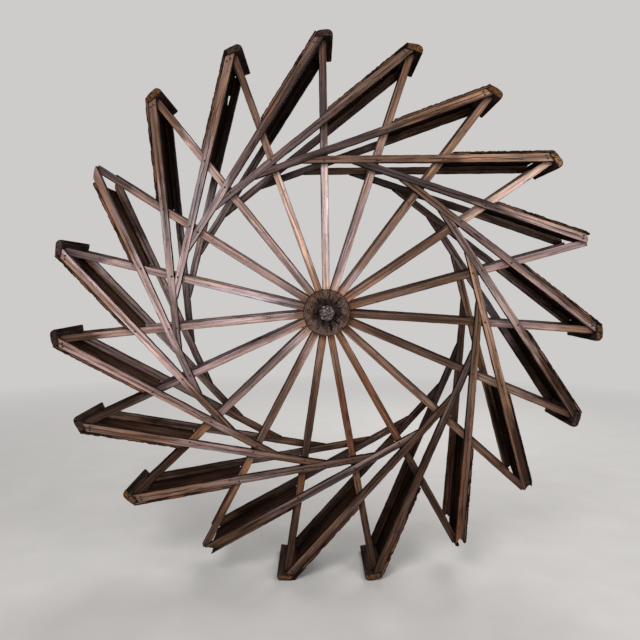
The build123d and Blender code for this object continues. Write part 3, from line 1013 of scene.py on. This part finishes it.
def nail(piece, middle, side, number):
    """One low nail head on a face that looks along Y."""
    stops = (rounded(2, 4), rounded(2, 4), even(1, 0.5))
    raw, faces = surface(stops, all_cells(stops))
    across, up = disc(raw[:, 0] - 1, raw[:, 1] - 1)
    out = raw[:, 2]
    dome = NAIL_HEIGHT * out * (1 - 0.7 * (across ** 2 + up ** 2))
    depth = middle[1] + side * (dome - NAIL_ROOT * (1 - out))
    points = np.column_stack((middle[0] + NAIL_RADIUS * across, depth, middle[2] + NAIL_RADIUS * up))
    piece.add(points, faces, points + number, tone("black"), 0.0, 0.0)


def nails():
    """Nail heads where the arms cross the spokes and at their tips, in both rows."""
    piece = Piece()
    draw = np.random.default_rng(NAIL_SEED)
    number = 0
    for side in (-1, 1):
        for bay in range(1, BAYS + 1):
            spots = []
            for crossing in range(1 if bay in TREADLESS_BAYS else 0, 4):
                lean = math.radians(TREAD_NORMAL + crossing * STEP)
                up = RING_RADIUS + draw.uniform(0.3, 0.7) * ARM_RING_WIDTH
                aside = NAIL_CLEARANCE if crossing == 0 else 0
                spots.append((up / math.tan(lean) - aside + draw.uniform(-NAIL_DRIFT, NAIL_DRIFT), up))
            for inset, share in TIP_NAILS:
                across = ARM_TIP[0] - inset + draw.uniform(-TIP_NAIL_DRIFT, TIP_NAIL_DRIFT)
                if bay not in BROKEN_TIP_BAYS:
                    spots.append((across, RING_RADIUS + share * ARM_TIP_WIDTH))
            face = side * (-ARM_FRONT - NAIL_SINK)
            for across, up in spots:
                middle = place(arm_turn(bay), np.array([across]), np.array([up]), np.array([face]))[0]
                nail(piece, middle, side, number)
                number += 1
    piece.build("nails", iron("nail_iron"), "arm_wood")


HUB_WOOD = wood("hub_wood", 1.1, 0.7, 0.0060, 0.5, 0.0)
AXLE_WOOD = wood("axle_wood", 1.0, 0.5, 0.0050, 0.5, 0.0)
SPOKE_WOOD = wood("spoke_wood")
ARM_WOOD = wood("arm_wood", seam=0.0415)
PADDLE_WOOD = wood("paddle_wood", 1.2, 0.8, shine=0.0)
TREAD_WOOD = wood("tread_wood", 1.0, 0.7, 0.0055, 0.6, 0.0)

hub()
axle()
for row, side in (("front", -1), ("rear", 1)):
    spokes, arms = Piece(), Piece()
    for bay in range(1, BAYS + 1):
        spoke(spokes, bay, side)
        arm(arms, bay, side)
    spokes.build(f"weathered_{row}_spokes", SPOKE_WOOD, "spoke_wood", f"{row}_spokes")
    arms.build(f"weathered_{row}_arms", ARM_WOOD, "arm_wood", f"{row}_arms")
for bay in range(1, BAYS + 1):
    paddle(bay)
    if bay not in TREADLESS_BAYS:
        tread(bay)
nails()


# Stage: a pale floor that runs out into a pale background
BACKGROUND = (*linear((206, 204, 202)), 1)
FLOOR_COLOUR = (*linear((206, 203, 200)), 1)
FLOOR_REACH = 40
FLOOR_FADE = 1.4, 5.0
WORLD_STRENGTH = 0.32

# Lamps: name, place, power in watts and width
LAMPS = (
    ("key", (-1.1, -3.5, 2.9), 112, 1.6),
    ("fill", (2.7, -2.7, 2.2), 55, 2.0),
    ("back", (0.9, 3.2, 2.8), 90, 2.0),
)


def floor():
    """A matte floor that fades into the background colour away from the wheel."""
    g = Graph("floor_paint")
    position = g.node("ShaderNodeNewGeometry").outputs["Position"]
    away = g.node("ShaderNodeVectorMath", {0: position}, operation="LENGTH").outputs[1]
    seen = g.node("ShaderNodeLightPath").outputs["Is Camera Ray"]
    far = g.math("MULTIPLY", g.span(away, *FLOOR_FADE), seen)
    grit = g.noise(g.stretch(position, (6, 6, 6)), 4)
    colour = g.shade(FLOOR_COLOUR, g.span(grit, 0.3, 0.7, 0.97, 1.03))
    matte = g.node("ShaderNodeBsdfPrincipled", {
        "Base Color": colour, "Roughness": 0.9, "Specular IOR Level": 0.2})
    glow = g.node("ShaderNodeEmission", {"Color": BACKGROUND, "Strength": 1.0})
    both = g.node("ShaderNodeMixShader", {0: far, 1: matte.outputs[0], 2: glow.outputs[0]})
    g.node("ShaderNodeOutputMaterial", {"Surface": both.outputs[0]})
    mesh = bpy.data.meshes.new("floor")
    corners = [(FLOOR_REACH * x, FLOOR_REACH * y, 0) for x, y in ((-1, -1), (1, -1), (1, 1), (-1, 1))]
    mesh.from_pydata(corners, [], [(0, 1, 2, 3)])
    mesh.materials.append(g.material)
    plane = bpy.data.objects.new("floor", mesh)
    bpy.context.scene.collection.objects.link(plane)


def world():
    """Even pale light from all round, and the background that the camera sees."""
    made = bpy.data.worlds.new("studio")
    made.use_nodes = True
    tree = made.node_tree
    tree.nodes.clear()
    light = tree.nodes.new("ShaderNodeBackground")
    light.inputs["Color"].default_value = (1, 1, 1, 1)
    light.inputs["Strength"].default_value = WORLD_STRENGTH
    backdrop = tree.nodes.new("ShaderNodeBackground")
    backdrop.inputs["Color"].default_value = BACKGROUND
    path = tree.nodes.new("ShaderNodeLightPath")
    mixed = tree.nodes.new("ShaderNodeMixShader")
    output = tree.nodes.new("ShaderNodeOutputWorld")
    tree.links.new(path.outputs["Is Camera Ray"], mixed.inputs[0])
    tree.links.new(light.outputs[0], mixed.inputs[1])
    tree.links.new(backdrop.outputs[0], mixed.inputs[2])
    tree.links.new(mixed.outputs[0], output.inputs[0])
    bpy.context.scene.world = made


def lamp(name, spot, power, size):
    """Square soft light that looks at the hub."""
    data = bpy.data.lights.new(name, "AREA")
    data.energy = power
    data.shape = "SQUARE"
    data.size = size
    made = bpy.data.objects.new(name, data)
    made.location = spot
    aim = Vector((0, 0, AXLE_HEIGHT)) - Vector(spot)
    made.rotation_euler = aim.to_track_quat("-Z", "Y").to_euler()
    bpy.context.scene.collection.objects.link(made)


# Camera: found by fitting the corners of the wheel to the photograph
CAMERA_PLACE = (-0.0308, -2.402, 0.9915)
CAMERA_YAW = 0.22
CAMERA_PITCH = -3.18
CAMERA_ROLL = 0.11
FOCAL_PIXELS = 700
FRAME_PIXELS = 640
SENSOR_WIDTH = 36


def camera():
    yaw, pitch, roll = (math.radians(angle) for angle in (CAMERA_YAW, CAMERA_PITCH, CAMERA_ROLL))
    forward = Vector((math.sin(yaw) * math.cos(pitch), math.cos(yaw) * math.cos(pitch), math.sin(pitch)))
    right = Vector((math.cos(yaw), -math.sin(yaw), 0))
    up = right.cross(forward)
    rolled_right = right * math.cos(roll) + up * math.sin(roll)
    rolled_up = up * math.cos(roll) - right * math.sin(roll)
    data = bpy.data.cameras.new("camera")
    data.sensor_width = SENSOR_WIDTH
    data.lens = SENSOR_WIDTH * FOCAL_PIXELS / FRAME_PIXELS
    made = bpy.data.objects.new("camera", data)
    turned = Matrix((rolled_right, rolled_up, -forward)).transposed().to_4x4()
    made.matrix_world = Matrix.Translation(CAMERA_PLACE) @ turned
    bpy.context.scene.collection.objects.link(made)
    bpy.context.scene.camera = made


floor()
world()
for values in LAMPS:
    lamp(*values)
camera()
bpy.context.scene.view_settings.view_transform = "Standard"
